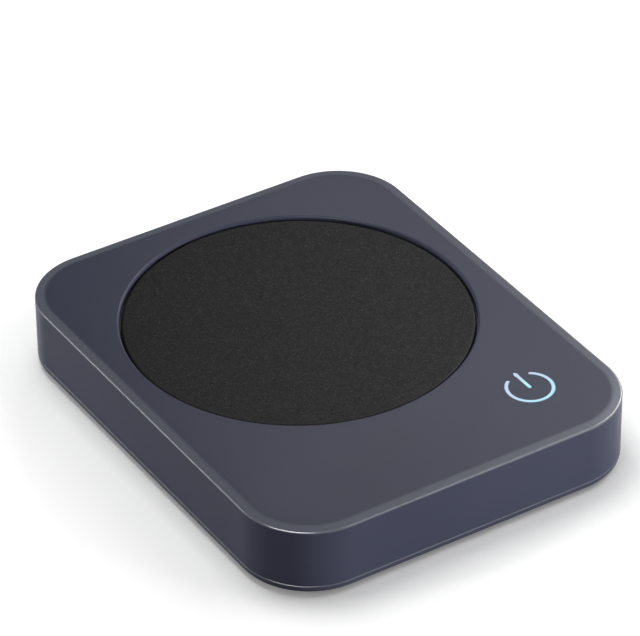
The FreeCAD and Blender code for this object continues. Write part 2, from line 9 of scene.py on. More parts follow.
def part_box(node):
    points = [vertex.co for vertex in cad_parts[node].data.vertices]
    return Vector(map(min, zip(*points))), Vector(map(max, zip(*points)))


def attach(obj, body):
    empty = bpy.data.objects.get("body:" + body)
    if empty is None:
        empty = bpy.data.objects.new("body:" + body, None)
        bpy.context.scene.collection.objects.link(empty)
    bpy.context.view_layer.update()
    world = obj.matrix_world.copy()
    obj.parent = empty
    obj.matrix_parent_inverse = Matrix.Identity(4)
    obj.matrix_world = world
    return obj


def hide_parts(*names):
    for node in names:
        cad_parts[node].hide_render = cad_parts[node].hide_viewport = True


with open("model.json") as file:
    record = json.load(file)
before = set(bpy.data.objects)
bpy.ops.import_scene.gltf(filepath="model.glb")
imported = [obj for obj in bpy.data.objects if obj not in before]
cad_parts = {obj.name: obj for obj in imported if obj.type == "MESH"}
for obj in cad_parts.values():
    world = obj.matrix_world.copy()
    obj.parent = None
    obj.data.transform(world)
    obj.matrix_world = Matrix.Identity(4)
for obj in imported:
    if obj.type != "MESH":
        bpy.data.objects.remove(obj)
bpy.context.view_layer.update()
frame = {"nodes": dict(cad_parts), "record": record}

mm = 0.001
hair = 0.001 * mm       # slack for comparing places, or a step that keeps two faces apart
overrun = 1 * mm        # how far a cutting tool runs past what it cuts
white = (1, 1, 1, 1)
layDown = Matrix.Rotation(math.radians(90), 4, "X")     # a standing shape's lower end goes to the rear

housingLow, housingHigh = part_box("top_housing")
coverLow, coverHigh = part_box("bottom_cover")
plateLow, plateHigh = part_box("heating_plate")
lensLow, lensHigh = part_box("symbol_lens")
socketLow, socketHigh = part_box("dc_socket")
plateCentre = (plateLow + plateHigh) / 2
symbolCentre = (lensLow + lensHigh) / 2


# Modelling helpers

def deselectAll():
    if bpy.context.mode != "OBJECT":
        bpy.ops.object.mode_set(mode="OBJECT")
    bpy.ops.object.select_all(action="DESELECT")


def makeActive(piece):
    deselectAll()
    piece.select_set(True)
    bpy.context.view_layer.objects.active = piece


def settle(piece, name):
    # names the piece and puts its place into its mesh
    makeActive(piece)
    bpy.ops.object.transform_apply(location=True, rotation=True, scale=True)
    piece.name = name
    piece.data.name = name
    return piece


def addBlock(name, low, high):
    deselectAll()
    low = Vector(low)
    high = Vector(high)
    bpy.ops.mesh.primitive_cube_add(size=1, location=(low + high) / 2, scale=high - low)
    return settle(bpy.context.object, name)


def addPost(name, x, y, zLow, zHigh, radius, sides):
    deselectAll()
    bpy.ops.mesh.primitive_cylinder_add(vertices=sides, radius=radius, depth=zHigh - zLow,
                                        location=(x, y, (zLow + zHigh) / 2))
    return settle(bpy.context.object, name)


def editStart(piece, kind):
    makeActive(piece)
    bpy.ops.object.mode_set(mode="EDIT")
    bpy.context.tool_settings.mesh_select_mode = (False, kind == "EDGE", kind == "FACE")
    bpy.ops.mesh.select_all(action="DESELECT")


def editEnd():
    bpy.ops.object.mode_set(mode="OBJECT")


def near(a, b, slack=hair):
    return abs(a - b) < slack


def pickFacing(piece, side):
    # selects the faces that look up (side 1) or down (side -1)
    levelEnough = 0.9
    work = bmesh.from_edit_mesh(piece.data)
    for face in work.faces:
        face.select_set(face.normal.z * side > levelEnough)
    bmesh.update_edit_mesh(piece.data)


def pickEdges(piece, test):
    # selects the edges whose two ends pass the test
    bpy.ops.mesh.select_all(action="DESELECT")
    work = bmesh.from_edit_mesh(piece.data)
    for edge in work.edges:
        edge.select_set(test(edge.verts[0].co, edge.verts[1].co))
    bmesh.update_edit_mesh(piece.data)


def pickLevel(piece, z):
    pickEdges(piece, lambda a, b: near(a.z, z) and near(b.z, z))


def bevelPicked(width, segments, profile=0.5):
    bpy.ops.mesh.bevel(offset=width, offset_type="OFFSET", segments=segments, profile=profile,
                       affect="EDGES", clamp_overlap=False)


def raisePicked(height):
    bpy.ops.mesh.extrude_region_move(TRANSFORM_OT_translate={"value": (0, 0, height)})


def lathe(name, x, y, profile, sides):
    # turns a closed outline of (radius, z) round an upright axis, ring by ring
    deselectAll()
    radius, z = profile[0]
    bpy.ops.mesh.primitive_circle_add(vertices=sides, radius=radius, fill_type="NGON",
                                      location=(x, y, z))
    piece = settle(bpy.context.object, name)
    editStart(piece, "FACE")
    bpy.ops.mesh.select_all(action="SELECT")
    for nextRadius, nextZ in profile[1:]:
        raisePicked(nextZ - z)
        grow = nextRadius / radius
        if not near(grow, 1):
            bpy.ops.transform.resize(value=(grow, grow, 1), center_override=(x, y, nextZ))
        radius, z = nextRadius, nextZ
    bpy.ops.mesh.select_all(action="SELECT")
    bpy.ops.mesh.normals_make_consistent(inside=False)
    editEnd()
    return piece


def quarter(radius, z, bend, start, end, steps=6):
    # points of a rounded edge: radius and z of the bend's centre, angles in degrees
    points = []
    for step in range(steps + 1):
        angle = math.radians(start + (end - start) * step / steps)
        points.append((radius + bend * math.cos(angle), z + bend * math.sin(angle)))
    return points


def combine(piece, tool, operation):
    # cuts the tool out of the piece or unites the two, and deletes the tool
    makeActive(piece)
    change = piece.modifiers.new("change", "BOOLEAN")
    change.operation = operation
    change.solver = "EXACT"
    change.object = tool
    bpy.ops.object.modifier_apply(modifier=change.name)
    bpy.data.objects.remove(tool)


def cutAway(piece, tool):
    combine(piece, tool, "DIFFERENCE")


def joinInto(piece, others):
    makeActive(piece)
    for other in others:
        other.select_set(True)
    bpy.ops.object.join()
    return piece


def smooth(piece, degrees):
    makeActive(piece)
    bpy.ops.object.shade_smooth_by_angle(angle=math.radians(degrees))


def evenShading(piece):
    # lets large flat faces keep their own normal beside small rounded edges
    makeActive(piece)
    even = piece.modifiers.new("even", "WEIGHTED_NORMAL")
    even.keep_sharp = True
    even.weight = 80
    bpy.ops.object.modifier_apply(modifier=even.name)


def roundedSlab(name, low, high, cornerRadius, cornerSegments):
    # a block with four round upright corners
    slab = addBlock(name, low, high)
    editStart(slab, "EDGE")
    pickEdges(slab, lambda a, b: near(a.x, b.x) and near(a.y, b.y))
    bevelPicked(cornerRadius, cornerSegments)
    editEnd()
    return slab


def fourCorners(inset):
    x = housingHigh.x - inset
    y = housingHigh.y - inset
    return [(x, y), (-x, y), (-x, -y), (x, -y)]


# Material helpers

def colour(red, green, blue):
    # a colour given as it looks on screen, 0 to 255
    def linear(v):
        v = v / 255
        return v / 12.92 if v <= 0.04045 else ((v + 0.055) / 1.055) ** 2.4
    return (linear(red), linear(green), linear(blue), 1)


class Finish:
    # a new material with its shader, and a shorthand for adding nodes

    def __init__(self, name):
        self.material = bpy.data.materials.new(name)
        self.material.use_nodes = True
        self.tree = self.material.node_tree
        self.shader = self.tree.nodes["Principled BSDF"]
        self.place = self.add("ShaderNodeTexCoord").outputs["Object"]

    def add(self, kind, inputs=None, **settings):
        node = self.tree.nodes.new(kind)
        for key, value in settings.items():
            setattr(node, key, value)
        for key, value in (inputs or {}).items():
            self.feed(node.inputs[key], value)
        return node

    def feed(self, socket, value):
        # a node's output is linked, anything else is set
        if isinstance(value, bpy.types.NodeSocket):
            self.tree.links.new(value, socket)
        else:
            socket.default_value = value

    def link(self, output, socket):
        self.tree.links.new(output, self.shader.inputs[socket])

    def adjust(self, settings):
        for name, value in settings.items():
            self.shader.inputs[name].default_value = value

    def math(self, operation, a, b=0.0, c=0.0):
        return self.add("ShaderNodeMath", {0: a, 1: b, 2: c}, operation=operation).outputs[0]

    def vector(self, operation, a, b=(0, 0, 0)):
        node = self.add("ShaderNodeVectorMath", {0: a, 1: b}, operation=operation)
        return node.outputs["Value" if operation in ("LENGTH", "DISTANCE") else "Vector"]

    def height(self):
        return self.add("ShaderNodeSeparateXYZ", {0: self.place}).outputs["Z"]

    def noise(self, scale, detail=2.0, roughness=0.5):
        node = self.add("ShaderNodeTexNoise", {"Vector": self.place, "Scale": scale, "Detail": detail,
                                               "Roughness": roughness})
        return node.outputs["Fac"]

    def span(self, value, fromLow, fromHigh, toLow=0.0, toHigh=1.0, ease="SMOOTHSTEP"):
        limits = {"From Min": fromLow, "From Max": fromHigh, "To Min": toLow, "To Max": toHigh}
        node = self.add("ShaderNodeMapRange", {"Value": value, **limits}, interpolation_type=ease)
        return node.outputs["Result"]

    def mottle(self, scale, low=0.0, high=1.0, detail=2.0, contrast=(0.3, 0.7)):
        # soft patches between two values
        return self.span(self.noise(scale, detail), *contrast, low, high)

    def blendColours(self, factor, first, second):
        node = self.add("ShaderNodeMix", data_type="RGBA")
        for key, value in (("Factor", factor), ("A", first), ("B", second)):
            socket = [s for s in node.inputs if s.name == key and s.enabled][0]
            self.feed(socket, value)
        return [s for s in node.outputs if s.enabled][0]

    def twoTone(self, factor, values):
        return self.blendColours(factor, colour(*values["dark"]), colour(*values["light"]))

    def bump(self, height, values):
        node = self.add("ShaderNodeBump", {"Height": height, "Strength": values["grainStrength"],
                                           "Distance": values["grainDepth"]})
        self.link(node.outputs["Normal"], "Normal")

    def polishWithPaintedHighlight(self, mask, tone, roughness, coat):
        # where the mask is 1, paints in the tone as a lighter painted highlight and gives another
        # roughness and coat
        plain = self.shader.inputs["Base Color"].links[0].from_socket
        self.link(self.blendColours(mask, plain, colour(*tone)), "Base Color")
        for name, value in (("Roughness", roughness), ("Coat Weight", coat)):
            socket = self.shader.inputs[name]
            before = socket.links[0].from_socket if socket.is_linked else socket.default_value
            self.link(self.add("ShaderNodeMix", {0: mask, 2: before, 3: value}).outputs[0], name)


def mouldedPlastic(name, values):
    # satin plastic with a fine moulded grain
    finish = Finish(name)
    cloud = finish.mottle(values["cloudScale"], contrast=(0.35, 0.65))
    finish.link(finish.twoTone(cloud, values), "Base Color")
    patches = finish.mottle(values["patchScale"], values["roughLow"], values["roughHigh"])
    finish.link(patches, "Roughness")
    finish.adjust({"Specular IOR Level": values["specular"], "Coat Roughness": values["coatRoughness"],
                   "Coat IOR": values["coatIndex"]})
    finish.bump(finish.noise(values["grainScale"], detail=3.0), values)
    return finish


# Housing

housing = {
    "cornerRadius": 19.5 * mm,
    "cornerSegments": 32,
    "rimWidth": 2.6 * mm,
    "rimDrop": 0.3 * mm,
    "rimEdge": 0.4 * mm,
    "rimBlend": 0.8 * mm,
    "seamLift": 0.2 * mm,
    "grooveHeight": 0.15 * mm,
    "grooveDepth": 0.5 * mm,
    "grooveEdge": 0.06 * mm,
    "wall": 2.2 * mm,
    "topThickness": 2.4 * mm,
    "openingRadius": 46.6 * mm,
    "openingSides": 192,
    "lipRadius": 0.6 * mm,
    "slotClearance": 0.06 * mm,
    "strokeCut": 0.4 * mm,      # this far above the skin's inside, only the symbol's strokes are left
    "socketHole": 4.3 * mm,
    "finish": {
        "dark": (46, 48, 61), "light": (49, 51, 64), "cloudScale": 18, "patchScale": 260,
        "roughLow": 0.31, "roughHigh": 0.34, "specular": 0.04,
        "grainScale": 5200, "grainStrength": 0.10, "grainDepth": 0.02 * mm,
        # rim is the sloped band round the top, and edge is its rounded outer edge. Both get a lighter
        # tone, a painted highlight, as well as their own roughness and coat. Each tone is full above a
        # depth below
        # the band: rimTop times rimEdge, or edgeTop times edgeWidth.
        "rimPaintedHighlight": (76, 79, 88), "rimFade": 0.6 * mm, "rimTop": 0.2,
        "rimRoughness": 0.25, "rimCoat": 0.0,
        "edgePaintedHighlight": (66, 69, 78), "edgeFade": 0.1 * mm, "edgeTop": 0.8, "edgeWidth": 0.42 * mm,
        "edgeRoughness": 0.25, "edgeCoat": 0.6, "coatRoughness": 0.25, "coatIndex": 1.7,
    },
}


def housingFinish():
    values = housing["finish"]
    finish = mouldedPlastic("slatePlastic", values)
    # distance outside the rectangle between the corners' centres, where the 1 leaves height out
    cornerX = housingHigh.x - housing["cornerRadius"]
    cornerY = housingHigh.y - housing["cornerRadius"]
    folded = finish.vector("ABSOLUTE", finish.place)
    shifted = finish.vector("SUBTRACT", folded, (cornerX, cornerY, 1))
    reach = finish.vector("LENGTH", finish.vector("MAXIMUM", shifted))
    height = finish.height()
    rimZ = housingHigh.z - housing["rimDrop"]

    # the sloped band gets a lighter tone as a painted highlight, and its own roughness and coat
    rimStart = housing["cornerRadius"] - housing["rimWidth"]
    inBand = finish.span(reach, rimStart - values["rimFade"], rimStart + values["rimFade"])
    onTop = finish.span(height, rimZ - housing["rimEdge"], rimZ - values["rimTop"] * housing["rimEdge"])
    band = finish.math("MULTIPLY", inBand, onTop)
    finish.polishWithPaintedHighlight(band, values["rimPaintedHighlight"], values["rimRoughness"], values["rimCoat"])

    # the rounded outer edge gets a lighter tone as a painted highlight, besides its coat and lower
    # roughness
    outermost = housing["cornerRadius"] - values["edgeWidth"]
    atEdge = finish.span(reach, outermost - values["edgeFade"], outermost)
    edgeHigh = finish.span(height, rimZ - values["edgeWidth"],
                           rimZ - values["edgeTop"] * values["edgeWidth"])
    edge = finish.math("MULTIPLY", atEdge, edgeHigh)
    finish.polishWithPaintedHighlight(edge, values["edgePaintedHighlight"], values["edgeRoughness"], values["edgeCoat"])
    return finish.material


def symbolCutter():
    # the symbol's strokes, a little wider and taller, as a tool for the slots
    source = frame["nodes"]["symbol_lens"]
    tool = source.copy()
    tool.data = source.data.copy()
    bpy.context.scene.collection.objects.link(tool)
    editStart(tool, "FACE")
    bpy.ops.mesh.select_all(action="SELECT")
    bpy.ops.mesh.remove_doubles(threshold=2 * hair)
    cutZ = housingHigh.z - housing["topThickness"] + housing["strokeCut"]
    bpy.ops.mesh.select_all(action="SELECT")
    bpy.ops.mesh.bisect(plane_co=(0, 0, cutZ), plane_no=(0, 0, 1), clear_inner=True, use_fill=True,
                        threshold=hair)
    bpy.ops.mesh.select_all(action="SELECT")
    bpy.ops.mesh.normals_make_consistent(inside=False)
    bpy.ops.transform.shrink_fatten(value=housing["slotClearance"])
    for side in (1, -1):
        pickFacing(tool, side)
        bpy.ops.transform.translate(value=(0, 0, side * overrun))
    editEnd()
    return tool


def openingCutter(skin):
    # a round tool that leaves a rounded lip. Its bend ends short of 90 degrees and its next ring
    # stands a little proud, so that none of its faces lies in the top face.
    lip = housing["lipRadius"]
    lipEnd = 98
    lipRise = 0.02 * mm
    top = housingHigh.z
    radius = housing["openingRadius"]
    profile = [(radius, skin - 2 * overrun)]
    profile += quarter(radius + lip, top - lip, lip, 180, lipEnd)
    profile += [(radius + lip, top + lipRise), (radius + lip, top + overrun)]
    return lathe("openingTool", plateCentre.x, plateCentre.y, profile, housing["openingSides"])


def makeHousing():
    low = housingLow.copy()
    high = housingHigh.copy()
    base = low.z + housing["seamLift"]
    skin = housingHigh.z - housing["topThickness"]
    low.z = base + housing["grooveHeight"]
    high.z -= housing["rimDrop"]
    shell = roundedSlab("topHousing", low, high, housing["cornerRadius"], housing["cornerSegments"])
    editStart(shell, "FACE")
    pickFacing(shell, 1)
    bpy.ops.mesh.inset(thickness=housing["rimWidth"], depth=housing["rimDrop"])
    pickFacing(shell, -1)
    bpy.ops.mesh.inset(thickness=housing["grooveDepth"])
    raisePicked(base - low.z)
    bpy.ops.mesh.inset(thickness=housing["wall"] - housing["grooveDepth"])
    raisePicked(skin - base)
    editEnd()
    print("housing: walls and band")

    def onOutline(a, z):
        # true for a point of the outer outline at height z
        margin = 0.2 * mm
        slack = 0.05 * mm
        inside = housing["cornerRadius"] + margin
        gapX = max(abs(a.x) - housingHigh.x + inside, 0)
        gapY = max(abs(a.y) - housingHigh.y + inside, 0)
        return near(a.z, z, 10 * hair) and math.hypot(gapX, gapY) > housing["cornerRadius"] - slack

    editStart(shell, "EDGE")
    pickEdges(shell, lambda a, b: onOutline(a, high.z) and onOutline(b, high.z))
    bevelPicked(housing["rimEdge"], segments=5)
    pickLevel(shell, housingHigh.z)
    bevelPicked(housing["rimBlend"], segments=4)
    pickEdges(shell, lambda a, b: onOutline(a, low.z) and onOutline(b, low.z))
    bevelPicked(housing["grooveEdge"], segments=3)
    editEnd()

    cutAway(shell, openingCutter(skin))
    cutAway(shell, symbolCutter())
    hole = addPost("socketTool", 0, 0, -housing["wall"], housing["wall"], housing["socketHole"], sides=64)
    rear = Vector((0, housingHigh.y - housing["wall"] / 2, (socketLow.z + socketHigh.z) / 2))
    hole.data.transform(Matrix.Translation(rear) @ layDown)
    cutAway(shell, hole)
    smooth(shell, degrees=28)
    evenShading(shell)
    print("housing: opening, symbol slots and inlet hole")
    return shell


# Bottom cover

cover = {
    "edgeRadius": 1.7 * mm,
    "seamEdge": 0.3 * mm,
    "lipInset": 2.35 * mm,
    "lipThickness": 1.2 * mm,
    "lipHeight": 2.0 * mm,
    "notchHalfWidth": 4.8 * mm,
    "notchDepth": 6.0 * mm,
    "notchHeight": 4.0 * mm,
    "footRecess": 6.2 * mm,
    "footRecessDepth": 0.6 * mm,
    "footInset": 19.0 * mm,
    "screwInset": 10.6 * mm,
    "wellRadius": 2.9 * mm,
    "wellDepth": 2.0 * mm,
    "ventLength": 18.0 * mm,
    "ventWidth": 2.0 * mm,
    "ventPitch": 5.0 * mm,
    "ventCount": 5,
    "ventX": 14.0 * mm,
    "finish": {
        "dark": (46, 48, 60), "light": (49, 51, 63), "cloudScale": 20, "patchScale": 300,
        "roughLow": 0.4, "roughHigh": 0.46, "specular": 0.05,
        "grainScale": 3600, "grainStrength": 0.16, "grainDepth": 0.03 * mm,
        # the edge values paint a lighter highlight line along the seam, with its own roughness and coat
        "edgePaintedHighlight": (66, 69, 78), "edgeRoughness": 0.35, "edgeCoat": 0.4, "edgeFade": 0.05 * mm,
        "coatRoughness": 0.3, "coatIndex": 1.7,
    },
}


def ventTool(x, y):
    # a slot with round ends: a block whose four upright edges are bevelled
    half = Vector((cover["ventLength"] / 2 + cover["ventWidth"] / 2, cover["ventWidth"] / 2, 0))
    middle = Vector((x, y, 0))
    low = middle - half + Vector((0, 0, coverLow.z - overrun))
    high = middle + half + Vector((0, 0, housingLow.z + overrun))
    endRadius = 0.499 * cover["ventWidth"]      # just under half, so that the two bevels don't meet
    return roundedSlab("ventTool", low, high, endRadius, cornerSegments=8)


def makeCover():
    high = Vector((coverHigh.x, coverHigh.y, housingLow.z + housing["seamLift"]))
    tray = roundedSlab("bottomCover", coverLow, high, housing["cornerRadius"], housing["cornerSegments"])
    editStart(tray, "EDGE")
    pickLevel(tray, coverLow.z)
    bevelPicked(cover["edgeRadius"], segments=8)
    pickLevel(tray, high.z)
    bevelPicked(cover["seamEdge"], segments=2, profile=0.4)
    editEnd()
    editStart(tray, "FACE")
    pickFacing(tray, 1)
    bpy.ops.mesh.inset(thickness=cover["lipInset"])
    raisePicked(cover["lipHeight"])
    bpy.ops.mesh.inset(thickness=cover["lipThickness"])
    raisePicked(-cover["lipHeight"])
    editEnd()

    # the lip is open for the inlet, and the underside has recesses, screw wells and vents
    notch = cover["notchHalfWidth"]
    cutAway(tray, addBlock("notchTool", (-notch, coverHigh.y - cover["notchDepth"], high.z + hair),
                           (notch, coverHigh.y - overrun, high.z + cover["notchHeight"])))
    below = coverLow.z - overrun
    for x, y in fourCorners(cover["footInset"]):
        cutAway(tray, addPost("recessTool", x, y, below, coverLow.z + cover["footRecessDepth"],
                              cover["footRecess"], sides=64))
    for x, y in fourCorners(cover["screwInset"]):
        cutAway(tray, addPost("wellTool", x, y, below, coverLow.z + cover["wellDepth"],
                              cover["wellRadius"], sides=48))
    for row in range(cover["ventCount"]):
        y = plateCentre.y + cover["ventPitch"] * (row - (cover["ventCount"] - 1) / 2)
        for x in (-cover["ventX"], cover["ventX"]):
            cutAway(tray, ventTool(x, y))
    smooth(tray, degrees=32)
    evenShading(tray)
    print("cover: edge, lip, recesses, screw wells and vents")
    return tray


def coverFinish():
    # plastic like the housing's, with a painted highlight: a lighter line painted where the two meet,
    # with its own roughness and coat there
    values = cover["finish"]
    finish = mouldedPlastic("coverPlastic", values)
    seam = housingLow.z + housing["seamLift"] - cover["seamEdge"]
    line = finish.span(finish.height(), seam - values["edgeFade"], seam)
    finish.polishWithPaintedHighlight(line, values["edgePaintedHighlight"], values["edgeRoughness"], values["edgeCoat"])
    return finish.material


# Feet

feet = {
    "edge": 0.35 * mm,
    "dish": 0.15 * mm,
    "dishRadius": 4.6 * mm,
    "dishSlope": 0.3 * mm,
    "finish": {
        "dark": (30, 30, 32), "light": (38, 38, 40), "cloudScale": 60, "patchScale": 400,
        "roughLow": 0.74, "roughHigh": 0.86,
        "grainScale": 3000, "grainStrength": 0.3, "grainDepth": 0.03 * mm,
    },
}


def makeFeet():
    low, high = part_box("rubber_feet")
    radius = (high.x - low.x) / 2 - (housingHigh.x - cover["footInset"])
    edge = feet["edge"]
    dish = feet["dishRadius"]
    profile = [(dish - feet["dishSlope"], low.z + feet["dish"]), (dish, low.z)]
    profile += quarter(radius - edge, low.z + edge, edge, -90, 0, steps=5)
    profile += [(radius, high.z)]
    made = [lathe("foot", x, y, profile, sides=64) for x, y in fourCorners(cover["footInset"])]
    pads = joinInto(made[0], made[1:])
    settle(pads, "rubberFeet")
    smooth(pads, degrees=35)
    print("feet")
    return pads


def rubberFinish():
    values = feet["finish"]
    finish = Finish("footRubber")
    cloud = finish.noise(values["cloudScale"], detail=3.0)
    finish.link(finish.twoTone(cloud, values), "Base Color")
    patches = finish.mottle(values["patchScale"], values["roughLow"], values["roughHigh"])
    finish.link(patches, "Roughness")
    finish.bump(finish.noise(values["grainScale"], detail=4.0), values)
    return finish.material


# Heated plate

plate = {
    "radius": 46.2 * mm,
    "edge": 0.8 * mm,
    "thickness": 1.5 * mm,
    "flangeTop": 17.2 * mm,
    "sides": 192,
    "finish": {
        "dark": (6, 6, 8), "light": (26, 26, 27), "fineScale": 4200, "fineContrast": (0.38, 0.66),
        "speck": (80, 80, 70), "speckScale": 3300, "speckSize": (0.32, 0.12),
        "chanceScale": 1980, "chance": (0.52, 0.6),
        "patchScale": 900, "roughLow": 0.42, "roughHigh": 0.58, "specular": 0.04,
        "grainStrength": 0.5, "grainDepth": 0.05 * mm,
    },
}


def makePlate():
    radius = plate["radius"]
    edge = plate["edge"]
    flange = plateHigh.x - plateCentre.x
    inside = radius - plate["thickness"]
    profile = quarter(radius - edge, plateHigh.z - edge, edge, 90, 0, steps=7)
    profile += [(radius, plate["flangeTop"]), (flange, plate["flangeTop"]), (flange, plateLow.z)]
    profile += [(inside, plateLow.z), (inside, plateHigh.z - plate["thickness"])]
    disc = lathe("heatedPlate", plateCentre.x, plateCentre.y, profile, plate["sides"])
    smooth(disc, degrees=35)
    evenShading(disc)
    print("heated plate")
    return disc


def plateFinish():
    # hard black coating with fine grey specks
    values = plate["finish"]
    finish = Finish("speckledCoating")
    fine = finish.noise(values["fineScale"], roughness=0.6)
    tone = finish.twoTone(finish.span(fine, *values["fineContrast"]), values)
    # a speck is the middle of a cell, and chance leaves most of them out
    cells = finish.add("ShaderNodeTexVoronoi", {"Vector": finish.place, "Scale": values["speckScale"]},
                       feature="F1").outputs["Distance"]
    chance = finish.noise(values["chanceScale"], detail=1.0)
    specks = finish.math("MULTIPLY", finish.span(cells, *values["speckSize"]),
                         finish.span(chance, *values["chance"]))
    finish.link(finish.blendColours(specks, tone, colour(*values["speck"])), "Base Color")
    patches = finish.mottle(values["patchScale"], values["roughLow"], values["roughHigh"])
    finish.link(patches, "Roughness")
    finish.adjust({"Specular IOR Level": values["specular"]})
    finish.bump(fine, values)
    return finish.material


# Power symbol

symbol = {
    "ringRadius": 6.0 * mm,
    "barLow": 0.1 * mm,
    "barHigh": 6.7 * mm,
    "halfStroke": 0.55 * mm,
    "finish": {
        "pale": (204, 218, 241), "cyan": (190, 236, 251), "mint": (184, 250, 244),
        "rim": (52, 96, 138), "rimStart": 0.6,      # share of the half stroke where its rim begins
        "strength": 0.93, "specular": 0.04, "roughness": 0.35,
        "dark": (20, 26, 34), "light": (28, 36, 46), "cloudScale": 300,
        "slant": 0.35, "ripple": 1.2 * mm, "rippleScale": 900,
        "cyanSpan": (-3 * mm, 6.5 * mm), "mintSpan": (5 * mm, 0.6 * mm),
    },
}


def symbolFinish():
    # clear moulding lit from below: pale, cyan at the front, mint in the middle, bluer at its edges
    values = symbol["finish"]
    finish = Finish("symbolGlow")
    fromCentre = finish.vector("SUBTRACT", finish.place, (symbolCentre.x, symbolCentre.y, 0))
    flat = finish.vector("MULTIPLY", fromCentre, (1, 1, 0))
    x, y = finish.add("ShaderNodeSeparateXYZ", {0: flat}).outputs[:2]
    reach = finish.vector("LENGTH", flat)
    slant = finish.math("SUBTRACT", finish.math("MULTIPLY", x, values["slant"]), y)
    ripple = finish.math("MULTIPLY", finish.noise(values["rippleScale"], detail=1.0), values["ripple"])
    front = finish.span(finish.math("ADD", slant, ripple), *values["cyanSpan"])
    middle = finish.span(reach, *values["mintSpan"])
    glow = finish.blendColours(front, colour(*values["pale"]), colour(*values["cyan"]))
    glow = finish.blendColours(middle, glow, colour(*values["mint"]))

    # distance from the middle line of the nearest stroke
    offRing = finish.math("ABSOLUTE", finish.math("SUBTRACT", reach, symbol["ringRadius"]))
    onBar = finish.math("MINIMUM", finish.math("MAXIMUM", y, symbol["barLow"]), symbol["barHigh"])
    nearest = finish.add("ShaderNodeCombineXYZ", {1: onBar}).outputs[0]
    offStroke = finish.math("MINIMUM", offRing, finish.vector("DISTANCE", flat, nearest))
    edge = finish.span(offStroke, values["rimStart"] * symbol["halfStroke"], symbol["halfStroke"])
    finish.link(finish.blendColours(edge, glow, colour(*values["rim"])), "Emission Color")
    finish.link(finish.twoTone(finish.noise(values["cloudScale"]), values), "Base Color")
    finish.adjust({"Emission Strength": values["strength"], "Specular IOR Level": values["specular"],
                   "Roughness": values["roughness"]})
    return finish.material


# Low-voltage inlet

inlet = {
    "bodyCorner": 0.8 * mm,
    "noseRadius": 4.1 * mm,
    "noseRoot": 2.0 * mm,       # how far the nose starts inside the body
    "noseEdge": 0.3 * mm,
    "noseBend": 0.09 * mm,      # how far in the middle of that rounded edge lies
    "boreRadius": 2.8 * mm,
    "boreDepth": 9.5 * mm,
    "boreEdge": 0.4 * mm,
    "sides": 64,
}


def makeSocket():
    # modelled standing up with its mouth down, then laid with its mouth to the rear
    centreZ = (socketLow.z + socketHigh.z) / 2
    shoulder = coverHigh.y - housing["wall"]
    mouth = -socketHigh.y
    low = (socketLow.x, socketLow.z, -shoulder)
    high = (socketHigh.x, socketHigh.z, -socketLow.y)
    body = roundedSlab("dcSocket", low, high, inlet["bodyCorner"], cornerSegments=5)

    radius = inlet["noseRadius"]
    edge = inlet["noseEdge"]
    bend = inlet["noseBend"]
    nose = [(radius - hair, -shoulder + inlet["noseRoot"]), (radius, mouth + edge)]
    nose += [(radius - bend, mouth + bend), (radius - edge, mouth)]
    combine(body, lathe("nose", 0, centreZ, nose, inlet["sides"]), "UNION")

    radius = inlet["boreRadius"]
    edge = inlet["boreEdge"]
    bore = [(radius, mouth + inlet["boreDepth"]), (radius, mouth + edge)]
    bore += [(radius + edge, mouth - 10 * hair), (radius + edge, mouth - overrun)]
    cutAway(body, lathe("boreTool", 0, centreZ, bore, inlet["sides"]))
    body.data.transform(layDown)
    smooth(body, degrees=35)
    print("inlet")
    return body


# Screws and what is inside

innerGrain = {
    "toneScale": 250, "patchScale": 750, "roughSpread": 0.06,
    "grainScale": 2500, "grainStrength": 0.15, "grainDepth": 0.02 * mm,
}

# slot: darker tone, lighter tone, roughness, metallic
innerFinishes = {
    "screw_steel": ((150, 150, 152), (172, 172, 174), 0.32, 1.0),
    "seal_silicone": ((24, 24, 25), (32, 32, 33), 0.6, 0.0),
    "element_foil": ((176, 118, 52), (196, 140, 70), 0.3, 0.3),
    "pad_wool": ((214, 210, 200), (232, 229, 220), 0.9, 0.0),
    "retainer_steel": ((150, 151, 153), (170, 171, 173), 0.35, 1.0),
    "sensor_epoxy": ((20, 20, 21), (28, 28, 29), 0.3, 0.0),
    "fuse_case": ((205, 203, 196), (222, 220, 214), 0.3, 0.0),
    "wire_insulation": ((150, 30, 26), (172, 40, 34), 0.45, 0.0),
    "baffle_plastic": ((22, 22, 23), (30, 30, 31), 0.6, 0.0),
    "spring_steel": ((180, 150, 84), (200, 172, 104), 0.28, 1.0),
    "led_package": ((228, 224, 196), (240, 236, 214), 0.35, 0.0),
    "board_laminate": ((16, 84, 44), (22, 98, 52), 0.35, 0.0),
    "chip_plastic": ((24, 24, 25), (34, 34, 35), 0.5, 0.0),
    "capacitor_can": ((176, 176, 178), (198, 198, 200), 0.25, 1.0),
    "connector_nylon": ((216, 210, 190), (230, 226, 210), 0.5, 0.0),
    "socket_plastic": ((22, 22, 23), (30, 30, 31), 0.42, 0.0),
    "contact_metal": ((186, 182, 168), (206, 202, 190), 0.22, 1.0),
}


def plainFinish(name, dark, light, roughness, metallic):
    # two close tones in soft patches, with a fine grain
    finish = Finish(name)
    patches = finish.mottle(innerGrain["toneScale"], detail=3.0)
    finish.link(finish.blendColours(patches, colour(*dark), colour(*light)), "Base Color")
    spread = innerGrain["roughSpread"]
    patches = finish.mottle(innerGrain["patchScale"], roughness - spread, roughness + spread)
    finish.link(patches, "Roughness")
    finish.adjust({"Metallic": metallic})
    finish.bump(finish.noise(innerGrain["grainScale"], detail=3.0), innerGrain)
    return finish.material


# Stage, light and camera

